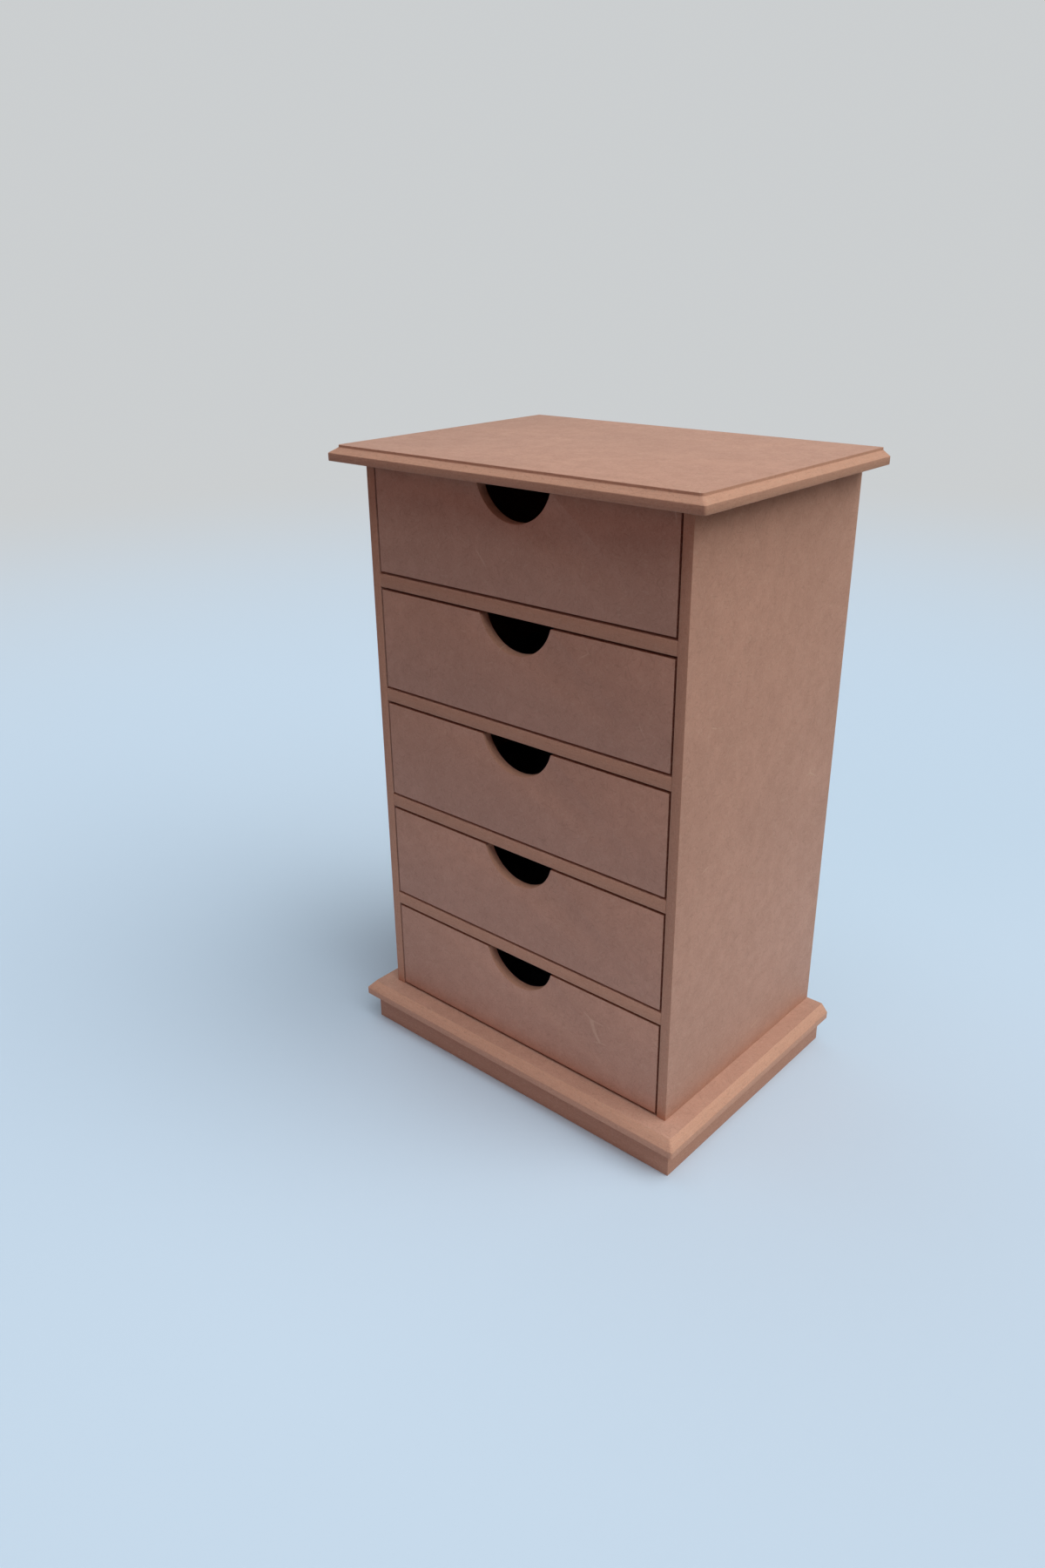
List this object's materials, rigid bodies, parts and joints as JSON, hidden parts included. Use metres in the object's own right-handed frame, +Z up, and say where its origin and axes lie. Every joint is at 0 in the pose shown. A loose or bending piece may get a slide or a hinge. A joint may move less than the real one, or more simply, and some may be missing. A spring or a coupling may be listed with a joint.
{
  "type": "jewelry drawer chest",
  "caption": "Tall tabletop chest of raw fibreboard: a stack of felt-lined drawers with half-moon finger notches, between overhanging moulded top and base boards, on a plinth.",
  "frame": {"origin": "centre of the chest's plan, on the surface that the plinth stands on", "axes": "+Z up; -Y is the front, where the drawers come out; +X to the right when facing the front"},
  "size_m": [0.242, 0.1704, 0.368],
  "materials": {
    "moulded_board": "raw fibreboard, routed edge",
    "plinth_board": "raw fibreboard, sawn edges",
    "side_board": "raw fibreboard",
    "back_board": "raw fibreboard",
    "divider_board": "raw fibreboard",
    "drawer_front_board": "raw fibreboard, sawn edges",
    "drawer_box_board": "raw fibreboard, dark edges",
    "felt": "soft navy felt"
  },
  "bodies": {
    "carcass": {"plinth": "plinth_board", "base_panel": "moulded_board", "top_panel": "moulded_board", "left_side": "side_board", "right_side": "side_board", "back_panel": "back_board", "divider_1": "divider_board", "divider_2": "divider_board", "divider_3": "divider_board", "divider_4": "divider_board"},
    "drawer_1": {"drawer_1_front": "drawer_front_board", "drawer_1_left_wall": "drawer_box_board", "drawer_1_right_wall": "drawer_box_board", "drawer_1_back_wall": "drawer_box_board", "drawer_1_floor": "drawer_box_board", "drawer_1_lining": "felt"},
    "drawer_2": {"drawer_2_front": "drawer_front_board", "drawer_2_left_wall": "drawer_box_board", "drawer_2_right_wall": "drawer_box_board", "drawer_2_back_wall": "drawer_box_board", "drawer_2_floor": "drawer_box_board", "drawer_2_lining": "felt"},
    "drawer_3": {"drawer_3_front": "drawer_front_board", "drawer_3_left_wall": "drawer_box_board", "drawer_3_right_wall": "drawer_box_board", "drawer_3_back_wall": "drawer_box_board", "drawer_3_floor": "drawer_box_board", "drawer_3_lining": "felt"},
    "drawer_4": {"drawer_4_front": "drawer_front_board", "drawer_4_left_wall": "drawer_box_board", "drawer_4_right_wall": "drawer_box_board", "drawer_4_back_wall": "drawer_box_board", "drawer_4_floor": "drawer_box_board", "drawer_4_lining": "felt"},
    "drawer_5": {"drawer_5_front": "drawer_front_board", "drawer_5_left_wall": "drawer_box_board", "drawer_5_right_wall": "drawer_box_board", "drawer_5_back_wall": "drawer_box_board", "drawer_5_floor": "drawer_box_board", "drawer_5_lining": "felt"}
  },
  "joints": [
    {"name": "drawer_1_slide", "type": "slide", "parent": "carcass", "child": "drawer_1", "axis": [0, -1, 0], "range_m": [0, 0.12]},
    {"name": "drawer_2_slide", "type": "slide", "parent": "carcass", "child": "drawer_2", "axis": [0, -1, 0], "range_m": [0, 0.12]},
    {"name": "drawer_3_slide", "type": "slide", "parent": "carcass", "child": "drawer_3", "axis": [0, -1, 0], "range_m": [0, 0.12]},
    {"name": "drawer_4_slide", "type": "slide", "parent": "carcass", "child": "drawer_4", "axis": [0, -1, 0], "range_m": [0, 0.12]},
    {"name": "drawer_5_slide", "type": "slide", "parent": "carcass", "child": "drawer_5", "axis": [0, -1, 0], "range_m": [0, 0.12]}
  ]
}
